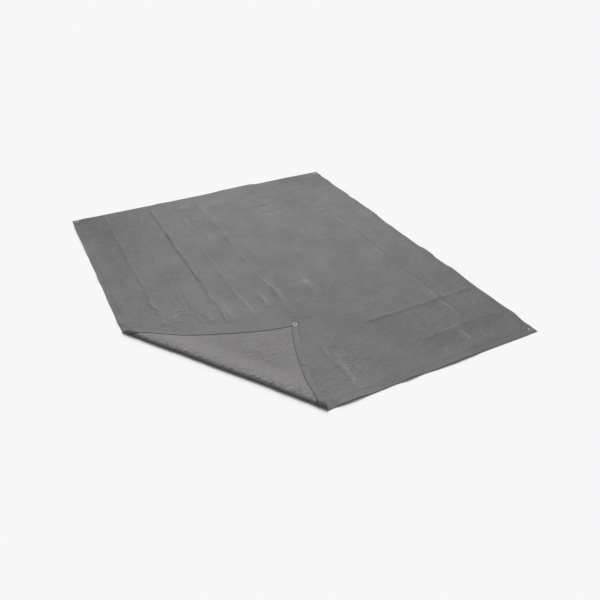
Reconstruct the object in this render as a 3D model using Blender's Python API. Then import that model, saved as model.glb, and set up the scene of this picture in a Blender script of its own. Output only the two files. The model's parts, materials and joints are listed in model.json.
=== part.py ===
"""A hemmed, coated woven tarpaulin with an eyelet in each corner and one corner folded back.

Metres, +Z up. The sheet lies in the XY plane with its long edges along Y. The origin is at the
centre of its outline, on the surface that it lies on. The folded corner is the one at -X, -Y: it
is laid out flat first, with the rest of the sheet, and then turned over on the fold's axis.
"""

import math

import bmesh
import bpy
from mathutils import Matrix, Vector

# Driving dimensions of the sheet
WIDTH = 1.600
LENGTH = 2.000
CLOTH = 0.0008
CLEARANCE = 0.0003

# Hems, turned under along every edge: side hems on the long edges, end hems on the short ones
SIDE_HEM = 0.024
END_HEM = 0.034

# Stiffening strips, welded under the end hems at the corners
STRIP_LENGTH = 0.315
STRIP_MARGIN = 0.0025
STRIP_END_STEPS = 8

# Eyelets: a flanged barrel from above, through every layer, and a washer from below
EYELET_INSET = 0.020
BORE_RADIUS = 0.0055
BARREL_WALL = 0.0005
FLANGE_RADIUS = 0.0110
FLANGE_EDGE_RADIUS = 0.0015
FLANGE_EDGE_DROP = 0.0004
WASHER_RADIUS = 0.0105
ROLLED_END_FLARE = 0.0012
ROUND_STEPS = 32

# The fold: where it starts on the left and front edges, measured from the folded corner
FOLD_ON_LEFT_EDGE = 0.838
FOLD_ON_FRONT_EDGE = 0.575
ROLL_RADIUS = 0.0088
TOUCHDOWN_LENGTH = 0.110
ROLL_STEPS = 16
TOUCHDOWN_STEPS = 16
AXIS_OFFSET = 0.018
# The woven cloth gives a little on the bias, so the tip lies short of a true mirror image
TIP_SLIP_ALONG = 0.038
TIP_SLIP_ACROSS = 0.035

# Heights of the layers, from the ground up
STRIP_TOP = CLOTH
HEM_BOTTOM = STRIP_TOP + CLEARANCE
HEM_TOP = HEM_BOTTOM + CLOTH
SHEET_BOTTOM = HEM_TOP + CLEARANCE
SHEET_TOP = SHEET_BOTTOM + CLOTH
FLANGE_BOTTOM = SHEET_TOP + CLEARANCE
FLANGE_TOP = FLANGE_BOTTOM + CLOTH
BARREL_RADIUS = BORE_RADIUS + BARREL_WALL
HOLE_RADIUS = BARREL_RADIUS + CLEARANCE
WASHER_SEAT_RADIUS = WASHER_RADIUS + CLEARANCE
# At rest the folded corner's eyelet flange clears the top of the sheet under it
AXIS_HEIGHT = (SHEET_TOP + CLEARANCE + FLANGE_TOP) / 2
SHEET_INSET = CLOTH + CLEARANCE

# Corners, and the fold line between its two ends
CORNERS = {
    "back_left": Vector((-WIDTH / 2, LENGTH / 2)),
    "back_right": Vector((WIDTH / 2, LENGTH / 2)),
    "front_right": Vector((WIDTH / 2, -LENGTH / 2)),
    "front_left": Vector((-WIDTH / 2, -LENGTH / 2)),
}
FOLDED = "front_left"
FOLD_START = CORNERS[FOLDED] + Vector((0, FOLD_ON_LEFT_EDGE))
FOLD_END = CORNERS[FOLDED] + Vector((FOLD_ON_FRONT_EDGE, 0))
ALONG = (FOLD_END - FOLD_START).normalized()
INWARD = Vector((-ALONG.y, ALONG.x))
ROLL_LENGTH = math.pi * ROLL_RADIUS
TIP_ACROSS = (FOLD_START - CORNERS[FOLDED]).dot(INWARD)
BEND_LENGTH = ROLL_LENGTH + TOUCHDOWN_LENGTH

COLOURS = {
    "cloth": ((0.165, 0.163, 0.163), 0.45, 0.0),
    "hem": ((0.170, 0.168, 0.168), 0.45, 0.0),
    "strip": ((0.110, 0.110, 0.112), 0.50, 0.0),
    "eyelet": ((0.700, 0.700, 0.700), 0.30, 1.0),
}


def clear_scene():
    for obj in list(bpy.data.objects):
        bpy.data.objects.remove(obj)


def material(name):
    """The finish's material, made on first use."""
    if name in bpy.data.materials:
        return bpy.data.materials[name]
    colour, roughness, metallic = COLOURS[name]
    made = bpy.data.materials.new(name)
    made.use_nodes = True
    shader = made.node_tree.nodes["Principled BSDF"]
    shader.inputs["Base Color"].default_value = (*colour, 1.0)
    shader.inputs["Roughness"].default_value = roughness
    shader.inputs["Metallic"].default_value = metallic
    return made


def new_object(name, bm, finish):
    """Links a bmesh into the scene as an object with its own material, faces pointing outwards."""
    bmesh.ops.recalc_face_normals(bm, faces=bm.faces)
    mesh = bpy.data.meshes.new(name)
    bm.to_mesh(mesh)
    bm.free()
    mesh.materials.append(material(finish))
    obj = bpy.data.objects.new(name, mesh)
    bpy.context.scene.collection.objects.link(obj)
    return obj


def plate(name, outline, low, high, finish):
    """A flat plate: an outline in plan, extruded from one height to another."""
    bm = bmesh.new()
    base = bm.faces.new([bm.verts.new((p[0], p[1], low)) for p in outline])
    raised = bmesh.ops.extrude_face_region(bm, geom=[base])["geom"]
    lift = [v for v in raised if isinstance(v, bmesh.types.BMVert)]
    bmesh.ops.translate(bm, verts=lift, vec=(0, 0, high - low))
    return new_object(name, bm, finish)


def turned(name, profile, centre, finish):
    """A round piece: a closed (radius, height) profile spun about a vertical axis at the centre."""
    bm = bmesh.new()
    ring = [bm.verts.new((radius, 0, height)) for radius, height in profile]
    edges = [bm.edges.new((ring[i - 1], ring[i])) for i in range(len(ring))]
    bmesh.ops.spin(
        bm,
        geom=ring + edges,
        axis=(0, 0, 1),
        cent=(0, 0, 0),
        angle=2 * math.pi,
        steps=ROUND_STEPS,
        use_merge=True,
    )
    bmesh.ops.remove_doubles(bm, verts=bm.verts, dist=1e-6)
    bmesh.ops.translate(bm, verts=bm.verts, vec=(centre.x, centre.y, 0))
    obj = new_object(name, bm, finish)
    obj.data.shade_smooth()
    obj.data.set_sharp_from_angle(angle=math.radians(35))
    return obj


def meeting_point(start, direction, cut_point, cut_direction):
    """Where a line in plan meets a cut line, as a distance along the line from its start."""
    normal = Vector((-cut_direction.y, cut_direction.x))
    return (cut_point - start).dot(normal) / direction.dot(normal)


def hem(name, start, end, inward, width, cut_start=None, cut_end=None):
    """A turned-under edge: a flat run below the sheet and a wall up its outer edge.

    Its section is carried from start to end. Each end is square, or slanted along a cut line.
    """
    run = (end - start).normalized()
    section = [
        (0, HEM_BOTTOM),
        (width, HEM_BOTTOM),
        (width, HEM_TOP),
        (CLOTH, HEM_TOP),
        (CLOTH, SHEET_TOP),
        (0, SHEET_TOP),
    ]
    bm = bmesh.new()
    rings = []
    for corner, cut in ((start, cut_start), (end, cut_end)):
        ring = []
        for depth, height in section:
            line = start + inward * depth
            distance = meeting_point(line, run, *cut) if cut else (corner - start).dot(run)
            point = line + run * distance
            ring.append(bm.verts.new((point.x, point.y, height)))
        rings.append(ring)
    for i in range(len(section)):
        bm.faces.new((rings[0][i - 1], rings[0][i], rings[1][i], rings[1][i - 1]))
    bm.faces.new(rings[0])
    bm.faces.new(rings[1])
    return new_object(name, bm, "hem")


def stiffening_strip(name, corner):
    """A strip under the end hem, from the corner inwards, with a rounded far end."""
    along = -1 if corner.x > 0 else 1
    across = -1 if corner.y > 0 else 1
    half = END_HEM / 2 - STRIP_MARGIN
    middle = corner.y + across * END_HEM / 2
    near = corner.x + along * STRIP_MARGIN
    far = corner.x + along * (STRIP_LENGTH - half)
    outline = [(near, middle - half), (near, middle + half)]
    for i in range(STRIP_END_STEPS + 1):
        angle = math.pi / 2 - math.pi * i / STRIP_END_STEPS
        outline.append((far + along * half * math.cos(angle), middle + half * math.sin(angle)))
    return plate(name, outline, 0.0, STRIP_TOP, "strip")


def eyelet_centre(corner):
    inset_x = math.copysign(EYELET_INSET, corner.x)
    inset_y = math.copysign(EYELET_INSET, corner.y)
    return Vector((corner.x - inset_x, corner.y - inset_y))


def eyelet(name, corner):
    """The flanged barrel, its lower end rolled outwards to hold the washer."""
    profile = [
        (BORE_RADIUS, 0.0),
        (BORE_RADIUS, FLANGE_TOP - FLANGE_EDGE_DROP),
        (BORE_RADIUS + FLANGE_EDGE_DROP, FLANGE_TOP),
        (FLANGE_RADIUS - FLANGE_EDGE_RADIUS, FLANGE_TOP),
        (FLANGE_RADIUS, FLANGE_TOP - FLANGE_EDGE_DROP),
        (FLANGE_RADIUS, FLANGE_BOTTOM),
        (BARREL_RADIUS, FLANGE_BOTTOM),
        (BARREL_RADIUS, STRIP_TOP),
        (BARREL_RADIUS + ROLLED_END_FLARE, 0.0),
    ]
    return turned(name, profile, eyelet_centre(corner), "eyelet")


def washer(name, corner):
    """The ring under the eyelet, countersunk from below for the barrel's rolled end."""
    profile = [
        (HOLE_RADIUS, STRIP_TOP),
        (WASHER_RADIUS, STRIP_TOP),
        (WASHER_RADIUS, 0.0),
        (HOLE_RADIUS + ROLLED_END_FLARE, 0.0),
    ]
    return turned(name, profile, eyelet_centre(corner), "eyelet")


def pierce(obj, centre, radius):
    """Cuts a clearance hole for the eyelet through a layer."""
    cutter = cutter_at(centre, radius)
    hole = obj.modifiers.new("hole", "BOOLEAN")
    hole.operation = "DIFFERENCE"
    hole.solver = "EXACT"
    hole.object = cutter


def cutter_at(centre, radius):
    """An upright cylinder that runs past every layer, used only to cut."""
    bm = bmesh.new()
    bmesh.ops.create_cone(
        bm,
        cap_ends=True,
        segments=ROUND_STEPS,
        radius1=radius,
        radius2=radius,
        depth=4 * FLANGE_TOP,
    )
    bmesh.ops.translate(bm, verts=bm.verts, vec=(centre.x, centre.y, 0))
    obj = new_object("cutter", bm, "cloth")
    obj.hide_render = True
    obj.display_type = "WIRE"
    return obj


def fold_plan(point):
    """A place on the sheet as (distance along the fold, distance out beyond the fold line)."""
    offset = point - FOLD_START
    return offset.dot(ALONG), -offset.dot(INWARD)


def folded_plan(along, out):
    """Where the folded corner's cloth lies in plan, inwards of the fold line.

    The roll takes up half a turn of cloth. The slip grows evenly from the roll to the tip.
    """
    share = (out - ROLL_LENGTH) / (TIP_ACROSS - ROLL_LENGTH)
    across = out - ROLL_LENGTH - TIP_SLIP_ACROSS * share
    return FOLD_START + ALONG * (along - TIP_SLIP_ALONG * share) + INWARD * across


def turn_over(obj, rigid_at=None):
    """Moves a piece of the flat corner to its folded place, upside down over the sheet.

    Cloth is turned point by point. A rigid piece is turned whole, about its own centre.
    """
    for vertex in obj.data.vertices:
        place = Vector((vertex.co.x, vertex.co.y))
        if rigid_at:
            offset = place - rigid_at
            mirrored = ALONG * offset.dot(ALONG) - INWARD * offset.dot(INWARD)
            place = folded_plan(*fold_plan(rigid_at)) + mirrored
        else:
            place = folded_plan(*fold_plan(place))
        vertex.co = (place.x, place.y, 2 * AXIS_HEIGHT - vertex.co.z)
    obj.data.update()


def fold_profile():
    """The fold's section as rows of (cloth length, distance inwards, height) of its mid surface.

    The slope makes a half turn at an even rate round the roll. It then dips by half a sine wave,
    steep enough to bring the cloth down onto the sheet at the touchdown.
    """
    start_height = SHEET_BOTTOM + CLOTH / 2
    drop = start_height + 2 * ROLL_RADIUS - (2 * AXIS_HEIGHT - start_height)
    dip = drop / (TOUCHDOWN_LENGTH * 2 / math.pi)
    rows = []
    for i in range(ROLL_STEPS + 1):
        turn = math.pi * i / ROLL_STEPS
        rows.append(
            (
                ROLL_RADIUS * turn,
                -CLEARANCE - ROLL_RADIUS * math.sin(turn),
                start_height + ROLL_RADIUS * (1 - math.cos(turn)),
            )
        )
    step = TOUCHDOWN_LENGTH / TOUCHDOWN_STEPS
    for i in range(TOUCHDOWN_STEPS):
        length, inwards, height = rows[-1]
        slope = -dip * math.sin(math.pi * (i + 0.5) / TOUCHDOWN_STEPS)
        rows.append((length + step, inwards + step * math.cos(slope), height + step * math.sin(slope)))
    return rows


def fold_bend():
    """The cloth between the flat sheet and the folded corner, as one curved strip.

    Each row of the section runs straight along the fold, from the left edge to the front edge.
    """
    left_slope = fold_plan(CORNERS[FOLDED])[0] / TIP_ACROSS
    fold_length = (FOLD_END - FOLD_START).length
    front_slope = (fold_length - fold_plan(CORNERS[FOLDED])[0]) / TIP_ACROSS
    bm = bmesh.new()
    rows = []
    for length, inwards, height in fold_profile():
        share = max(0.0, (length - ROLL_LENGTH) / (TIP_ACROSS - ROLL_LENGTH))
        inwards -= TIP_SLIP_ACROSS * share
        row = []
        out = length + CLEARANCE
        for along in (out * left_slope, fold_length - out * front_slope):
            place = FOLD_START + ALONG * (along - TIP_SLIP_ALONG * share) + INWARD * inwards
            row.append(bm.verts.new((place.x, place.y, height)))
        rows.append(row)
    for before, after in zip(rows, rows[1:]):
        bm.faces.new((before[0], before[1], after[1], after[0]))
    obj = new_object("fold_bend", bm, "cloth")
    thicken = obj.modifiers.new("thickness", "SOLIDIFY")
    thicken.thickness = CLOTH
    thicken.offset = 0
    thicken.use_even_offset = True
    return obj


def flat_sheet():
    """The part of the sheet that lies flat: the whole outline, less the corner past the fold."""
    low = CORNERS["front_left"] + Vector((SHEET_INSET, SHEET_INSET))
    high = CORNERS["back_right"] - Vector((SHEET_INSET, SHEET_INSET))
    up = Vector((0, 1))
    right = Vector((1, 0))
    on_left = low + up * meeting_point(low, up, FOLD_START, ALONG)
    on_front = low + right * meeting_point(low, right, FOLD_START, ALONG)
    outline = [on_left, on_front, (high.x, low.y), high, (low.x, high.y)]
    obj = plate("main_sheet", outline, SHEET_BOTTOM, SHEET_TOP, "cloth")
    for name, corner in CORNERS.items():
        if name != FOLDED:
            pierce(obj, eyelet_centre(corner), HOLE_RADIUS)
    return obj


def bend_end_cut():
    """The cut line, on the flat sheet, where the bend ends and the folded corner starts."""
    return FOLD_START - INWARD * (BEND_LENGTH + CLEARANCE), ALONG


def corner_sheet():
    """The folded corner's cloth beyond the bend, laid out flat."""
    low = CORNERS[FOLDED] + Vector((SHEET_INSET, SHEET_INSET))
    up = Vector((0, 1))
    right = Vector((1, 0))
    on_left = low + up * meeting_point(low, up, *bend_end_cut())
    on_front = low + right * meeting_point(low, right, *bend_end_cut())
    return plate("corner_flap", [low, on_front, on_left], SHEET_BOTTOM, SHEET_TOP, "cloth")


def sheet_hems():
    """The hems of the flat sheet. The end hems run to the corners, the side hems between them."""
    fold_cut = (FOLD_START, ALONG)
    setback = Vector((0, END_HEM + CLEARANCE))
    back_left = CORNERS["back_left"]
    back_right = CORNERS["back_right"]
    front_right = CORNERS["front_right"]
    front_left = CORNERS["front_left"]
    right, left = Vector((1, 0)), Vector((-1, 0))
    up, down = Vector((0, 1)), Vector((0, -1))
    back = hem("hem_back", back_left, back_right, down, END_HEM)
    front = hem("hem_front", front_left, front_right, up, END_HEM, cut_start=fold_cut)
    hem("hem_left", front_left, back_left - setback, right, SIDE_HEM, cut_start=fold_cut)
    hem("hem_right", front_right + setback, back_right - setback, left, SIDE_HEM)
    pierce(back, eyelet_centre(back_left), HOLE_RADIUS)
    pierce(back, eyelet_centre(back_right), HOLE_RADIUS)
    pierce(front, eyelet_centre(front_right), HOLE_RADIUS)


def corner_hems():
    """The hems of the folded corner, laid out flat."""
    corner = CORNERS[FOLDED]
    setback = Vector((0, END_HEM + CLEARANCE))
    front = hem(
        "flap_hem_front", corner, FOLD_END, Vector((0, 1)), END_HEM, cut_end=bend_end_cut()
    )
    side = hem(
        "flap_hem_left",
        corner + setback,
        FOLD_START,
        Vector((1, 0)),
        SIDE_HEM,
        cut_end=bend_end_cut(),
    )
    return front, side


def fold_axis():
    """An empty on the fold's axis, its X axis along the fold."""
    place = FOLD_START - INWARD * AXIS_OFFSET
    empty = bpy.data.objects.new("corner_fold_axis", None)
    empty.matrix_world = Matrix.Translation((place.x, place.y, AXIS_HEIGHT)) @ Matrix.Rotation(
        math.atan2(ALONG.y, ALONG.x), 4, "Z"
    )
    bpy.context.scene.collection.objects.link(empty)
    return empty


def hang_on(empty, pieces):
    """Parents pieces to the axis without moving them."""
    for piece in pieces:
        piece.parent = empty
        piece.matrix_parent_inverse = empty.matrix_world.inverted()


def folded_corner(strip, ring, backing):
    """Builds the folded corner's cloth, and turns it and its fittings over on the fold's axis."""
    flat_centre = eyelet_centre(CORNERS[FOLDED])
    sheet = corner_sheet()
    front, side = corner_hems()
    cloth = (sheet, front, side, strip)
    fittings = (ring, backing)
    for piece in cloth:
        turn_over(piece)
    for piece in fittings:
        turn_over(piece, rigid_at=flat_centre)
    centre = folded_plan(*fold_plan(flat_centre))
    pierce(sheet, centre, HOLE_RADIUS)
    pierce(front, centre, HOLE_RADIUS)
    pierce(strip, centre, WASHER_SEAT_RADIUS)
    hang_on(fold_axis(), cloth + fittings)


def build():
    clear_scene()
    flat_sheet()
    sheet_hems()
    fold_bend()
    for name, corner in CORNERS.items():
        strip = stiffening_strip("strip_" + name, corner)
        ring = eyelet("eyelet_" + name, corner)
        backing = washer("washer_" + name, corner)
        if name == FOLDED:
            folded_corner(strip, ring, backing)
        else:
            pierce(strip, eyelet_centre(corner), WASHER_SEAT_RADIUS)


build()
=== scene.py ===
"""The looks of a hemmed, coated woven tarpaulin with an eyelet in each corner and one corner folded back.

Metres, +Z up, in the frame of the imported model. "Flat" coordinates are places on the cloth as it was
cut, before the corner was folded: they are the same as the frame's X and Y on the part that lies flat.
"""

import json
import math

import bpy
import numpy as np
from bpy.props import FloatProperty, FloatVectorProperty, PointerProperty
from mathutils import Euler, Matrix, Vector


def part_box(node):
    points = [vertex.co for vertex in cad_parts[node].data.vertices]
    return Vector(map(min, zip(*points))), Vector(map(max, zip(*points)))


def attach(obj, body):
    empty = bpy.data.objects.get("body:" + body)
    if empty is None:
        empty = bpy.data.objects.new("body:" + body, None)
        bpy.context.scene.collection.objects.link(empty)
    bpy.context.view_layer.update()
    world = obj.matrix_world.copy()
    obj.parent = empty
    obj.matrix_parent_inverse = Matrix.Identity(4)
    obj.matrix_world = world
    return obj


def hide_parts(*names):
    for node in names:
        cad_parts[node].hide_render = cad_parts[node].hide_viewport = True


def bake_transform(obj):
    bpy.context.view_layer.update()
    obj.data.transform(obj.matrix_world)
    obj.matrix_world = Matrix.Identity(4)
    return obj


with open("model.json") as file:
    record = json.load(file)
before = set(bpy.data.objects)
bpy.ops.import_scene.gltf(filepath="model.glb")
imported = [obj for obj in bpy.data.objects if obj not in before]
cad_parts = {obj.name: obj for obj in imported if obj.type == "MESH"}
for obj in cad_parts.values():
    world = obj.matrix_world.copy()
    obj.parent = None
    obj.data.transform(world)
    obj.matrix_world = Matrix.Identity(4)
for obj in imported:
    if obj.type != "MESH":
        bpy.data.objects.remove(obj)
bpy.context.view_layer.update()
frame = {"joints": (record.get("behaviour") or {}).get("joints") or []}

bl_info = {
    "name": "Folded tarpaulin",
    "version": (1, 0, 0),
    "blender": (4, 5, 0),
    "location": "3D View > Sidebar > Tarpaulin",
    "description": "Builds a creased, hemmed tarpaulin with one corner folded back",
    "category": "Add Mesh",
}



def box_middle(node):
    low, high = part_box(node)
    return [(a + b) / 2 for a, b in zip(low, high)]


# The outline and the layers, read from the frame
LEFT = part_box("hem_left")[0].x
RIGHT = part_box("hem_right")[1].x
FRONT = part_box("hem_front")[0].y
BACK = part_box("hem_back")[1].y
WIDTH = RIGHT - LEFT
LENGTH = BACK - FRONT
SIDE_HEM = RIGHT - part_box("hem_right")[0].x
END_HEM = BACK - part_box("hem_back")[0].y
HEM_GAP = 0.0003
STRIP_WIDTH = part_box("strip_back_right")[1].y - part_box("strip_back_right")[0].y
STRIP_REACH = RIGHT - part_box("strip_back_right")[0].x
STRIP_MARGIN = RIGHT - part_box("strip_back_right")[1].x
EYELET_INSET = BACK - box_middle("eyelet_back_left")[1]
SHEET_LEVEL = box_middle("main_sheet")[2]
FLAP_LEVEL = box_middle("corner_flap")[2]
CORNERS = {
    "back_left": np.array([LEFT, BACK]),
    "back_right": np.array([RIGHT, BACK]),
    "front_right": np.array([RIGHT, FRONT]),
    "front_left": np.array([LEFT, FRONT]),
}
FOLDED = "front_left"
LYING = [corner for corner in CORNERS if corner != FOLDED]

# The fold's axis is level and lies outside the fold line, at this distance from it
AXIS_OFFSET = 0.018
AXIS_PLACE = np.array(frame["joints"][0]["pos_m"])
ALONG = np.array(frame["joints"][0]["axis"])[:2]
INWARD = np.array([-ALONG[1], ALONG[0]])
ON_FOLD = AXIS_PLACE[:2] + INWARD * AXIS_OFFSET
FOLD_START = ON_FOLD + ALONG * (LEFT - ON_FOLD[0]) / ALONG[0]
FOLD_END = ON_FOLD + ALONG * (FRONT - ON_FOLD[1]) / ALONG[1]
FOLD_LENGTH = np.linalg.norm(FOLD_END - FOLD_START)

# The roll of the fold: a flat lead, a tight turn up the outer side, then a wide turn onto the top
ROLL_LEAD = 0.0070
TIGHT_RADIUS = 0.0050
WIDE_RADIUS = 0.0200
TURN_SHARED = math.radians(60)
TIGHT_END = ROLL_LEAD + TIGHT_RADIUS * (math.pi - TURN_SHARED)
ROLL_LENGTH = TIGHT_END + WIDE_RADIUS * TURN_SHARED
ROLL_HEIGHT = TIGHT_RADIUS * (1 + math.cos(TURN_SHARED)) + WIDE_RADIUS * (1 - math.cos(TURN_SHARED))


def fold_place(x, y):
    """Flat coordinates as (distance along the fold, distance out beyond the fold line)."""
    along = (x - FOLD_START[0]) * ALONG[0] + (y - FOLD_START[1]) * ALONG[1]
    out = -(x - FOLD_START[0]) * INWARD[0] - (y - FOLD_START[1]) * INWARD[1]
    return along, out


def flat_place(along, out):
    """The flat coordinates of a place given along the fold and out beyond the fold line."""
    x = FOLD_START[0] + along * ALONG[0] - out * INWARD[0]
    y = FOLD_START[1] + along * ALONG[1] - out * INWARD[1]
    return x, y


TIP_ALONG, TIP_OUT = fold_place(*CORNERS[FOLDED])


# ---------------------------------------------------------------- settings


def plain(name, description, default):
    """A property for a number that has no unit."""
    return FloatProperty(name=name, description=description, default=default)


def length(name, description, default):
    """A property for a length in metres."""
    return FloatProperty(name=name, description=description, default=default, subtype="DISTANCE")


def angle(name, description, degrees):
    """A property for an angle, whose default is given in degrees."""
    return FloatProperty(name=name, description=description, default=math.radians(degrees), subtype="ANGLE")


def colour(name, description, default):
    """A property for a linear colour."""
    return FloatVectorProperty(name=name, description=description, default=default, subtype="COLOR")


class ClothSettings(bpy.types.PropertyGroup):
    thickness: length("Thickness", "Thickness of the coated cloth", 0.0006)
    resting_height: length("Resting height", "Height of the cloth's middle, clear of the hems", 0.0012)
    crease_height: length("Crease height", "Height of a full storage crease", 0.0062)
    pucker_height: length("Pucker height", "Height of the small random puckers", 0.0020)
    swell_height: length("Swell height", "Height of the long, low waves", 0.0030)
    edge_height: length("Edge height", "Height of the lumps along the edges", 0.0070)
    tape_width: length("Tape width", "Width of one woven tape", 0.0024)
    top_colour: colour("Top colour", "Colour of the top side", (0.0885, 0.0845, 0.0858))
    # The underside colour is set lighter than the top: painted light for the folded corner, whose underside
    # shows
    under_colour: colour("Underside colour", "Colour of the underside", (0.116, 0.111, 0.1125))
    # A crest pales from wear and from painted sheen: the satin highlight on crease and wrinkle crests is
    # painted into the colour
    top_wear: plain("Top wear", "How much a worn crest pales on the top side", 0.95)
    under_wear: plain("Underside wear", "How much a worn crest pales on the underside", 0.25)


class FoldSettings(bpy.types.PropertyGroup):
    touchdown: length("Touchdown", "Cloth over which the folded corner comes down onto the sheet", 0.110)
    left_bow: length("Left bow", "How far the folded left edge bows inwards", 0.057)
    front_bow: length("Front bow", "How far the folded front edge bows inwards", 0.027)
    bend_reach: length("Bend reach", "Depth of the band that turns with the fold", 0.031)
    bend_slope: angle("Bend slope", "Angle of that band above the ground", 75)
    bend_lead: length("Bend lead", "How far before the fold line that band starts", 0.0018)


class HemSettings(bpy.types.PropertyGroup):
    drop: length("Drop", "Depth of the turned-under layer below the sheet", 0.0011)
    colour: colour("Colour", "Colour of the turned-under layer", (0.104, 0.102, 0.103))
    # The hem's dark line is the welded line together with painted shadow of the hem's free inner edge
    seam: length("Seam", "Width of the welded line at the hem's inner edge", 0.0035)


class StripSettings(bpy.types.PropertyGroup):
    drop: length("Drop", "Depth of the strip below the sheet", 0.0022)
    colour: colour("Colour", "Colour of the stiffening strips", (0.060, 0.060, 0.061))


class EyeletSettings(bpy.types.PropertyGroup):
    bore: length("Bore radius", "Radius of the eyelet's bore", 0.0055)
    wall: length("Wall", "Thickness of the eyelet's barrel", 0.0005)
    flange: length("Flange radius", "Radius of the eyelet's flange", 0.0110)
    washer: length("Washer radius", "Radius of the washer", 0.0105)
    hole: length("Hole radius", "Radius of the hole through the cloth", 0.0063)
    colour: colour("Colour", "Colour of the metal", (0.17, 0.17, 0.166))


class StageSettings(bpy.types.PropertyGroup):
    eye: FloatVectorProperty(
        name="Eye",
        description="Place of the camera",
        default=(-1.0708, -2.3762, 1.5880),
        subtype="TRANSLATION",
    )
    turn: angle("Turn", "How far the view turns from +Y to +X", 27.36)
    dip: angle("Dip", "How far the view points down", 34.35)
    lens: plain("Lens", "Focal length in millimetres", 36.178)
    floor_colour: colour("Floor colour", "Colour of the floor", (0.70, 0.70, 0.70))
    floor_half: length("Floor half side", "Half the side of the square floor", 300.0)
    sky: plain("Sky", "Brightness of the even light from all round", 0.40)
    sun: plain("Sun", "Strength of the soft light from behind", 4.3)
    sun_height: angle("Sun height", "Height of that light over the horizon", 43)
    sun_turn: angle("Sun turn", "Where that light stands, from +Y to +X", 23)
    sun_spread: angle("Sun spread", "Width of that light as seen from the object", 40)


SETTINGS = {
    "tarp_cloth": ClothSettings,
    "tarp_fold": FoldSettings,
    "tarp_hem": HemSettings,
    "tarp_strip": StripSettings,
    "tarp_eyelet": EyeletSettings,
    "tarp_stage": StageSettings,
}


# ---------------------------------------------------------------- shapes on arrays

LATTICE = 64
LINE_SAMPLES = 6001
EYELET_WINDOW = 0.012
EYELET_CORE = 0.006
WINDOW_CELLS = 8
WINDOW_GAP = 0.0015
SAME_PLACE = 1e-6
NO_AREA = 1e-10
SHARP_ANGLE = math.radians(50)


def smooth(low, high, value):
    """0 below low and 1 above high, with a smooth step between them."""
    t = np.clip((value - low) / (high - low), 0, 1)
    return t * t * (3 - 2 * t)


def bell(*offsets):
    """e to minus the sum of the offsets' squares: 1 where they are all 0, and nearly 0 from 2 on."""
    return np.exp(-sum(offset * offset for offset in offsets))


def noise(x, y, cell_x, cell_y, seed):
    """Smooth random values from -1 to 1: seeded values on a lattice of cells, joined by smooth steps."""
    lattice = np.random.default_rng(seed).uniform(-1, 1, (LATTICE, LATTICE))
    a, b = x / cell_x, y / cell_y
    i, j = np.floor(a).astype(int), np.floor(b).astype(int)
    share_a, share_b = smooth(0, 1, a - i), smooth(0, 1, b - j)

    def value(p, q):
        return lattice[p % LATTICE, q % LATTICE]

    near = value(i, j) * (1 - share_a) + value(i + 1, j) * share_a
    far = value(i, j + 1) * (1 - share_a) + value(i + 1, j + 1) * share_a
    return near * (1 - share_b) + far * share_b


def drift(along, cell, seed):
    """The same noise along one line."""
    return noise(along, 0 * along, cell, 1, seed)


def softened(value, rounding):
    """The value where it is above 0, and nearly 0 below, with a round turn between."""
    return (value + np.sqrt(value * value + rounding * rounding)) / 2


def lines(low, high, coarse, fine, places, reach):
    """Grid lines from low to high: coarse apart, and fine apart within reach of each place.

    The running sum of the wanted number of lines per metre is read back at whole numbers.
    """
    at = np.linspace(low, high, LINE_SAMPLES)
    near = np.abs(at[:, None] - np.array(places)).min(axis=1)
    density = 1 / coarse + (1 / fine - 1 / coarse) * (1 - smooth(reach / 2, reach, near))
    total = np.concatenate([[0], np.cumsum((density[1:] + density[:-1]) / 2 * np.diff(at))])
    return np.interp(np.linspace(0, total[-1], round(total[-1]) + 1), total, at)


def with_window(at, centre):
    """The grid lines again, with even lines across the window round an eyelet's centre."""
    window = centre + EYELET_WINDOW * np.linspace(-1, 1, WINDOW_CELLS + 1)
    outside = np.abs(at - centre) > EYELET_WINDOW + WINDOW_GAP
    return np.sort(np.concatenate([at[outside], window]))


def grid_triangles(rows, columns):
    """The triangles of a grid of points that is stored row by row."""
    first = (np.arange(rows - 1)[:, None] * columns + np.arange(columns - 1)[None, :]).ravel()
    quads = np.stack([first, first + 1, first + columns + 1, first + columns], axis=1)
    return np.concatenate([quads[:, [0, 1, 2]], quads[:, [0, 2, 3]]])


def cut_grid(columns, rows, low, high):
    """A grid whose rows end at low and high, arrays with a limit for each row.

    Points past a limit are put on it and merged, so an edge that slants is straight and clean.
    Returns the points and the triangles.
    """
    across = np.clip(columns[None, :], low[:, None], high[:, None])
    down = np.broadcast_to(rows[:, None], across.shape)
    points = np.stack([across, down], axis=-1).reshape(-1, 2)
    return merged(points, grid_triangles(len(rows), len(columns)))


def merged(points, triangles):
    """Merges points in the same place, and drops triangles that have lost their area."""
    cells = np.round(points / SAME_PLACE).astype(np.int64)
    _, first, group = np.unique(cells, axis=0, return_index=True, return_inverse=True)
    triangles = group.ravel()[triangles]
    points = points[first]
    a, b, c = (points[triangles[:, i]] for i in range(3))
    doubled = (b - a)[:, 0] * (c - a)[:, 1] - (b - a)[:, 1] * (c - a)[:, 0]
    used, triangles = np.unique(triangles[np.abs(doubled) > NO_AREA], return_inverse=True)
    return points[used], triangles.reshape(-1, 3)


def open_hole(points, triangles, centre, core, window, radius):
    """Opens a round hole: the core square round the centre becomes a circle, and what is inside it goes.

    Points between the core and the window slide outwards, less and less.
    """
    offset = points - centre
    square = np.abs(offset).max(axis=1)
    inside = square[triangles].max(axis=1) < core + SAME_PLACE
    distance = np.maximum(np.linalg.norm(offset, axis=1), 1e-9)
    share = np.clip((square - core) / (window - core), 0, 1)
    wanted = (1 - share) * radius + share * distance
    slid = centre + offset * (wanted / distance)[:, None]
    moved = np.where((square < window - SAME_PLACE)[:, None], slid, points)
    used, triangles = np.unique(triangles[~inside], return_inverse=True)
    return moved[used], triangles.reshape(-1, 3)


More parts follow.
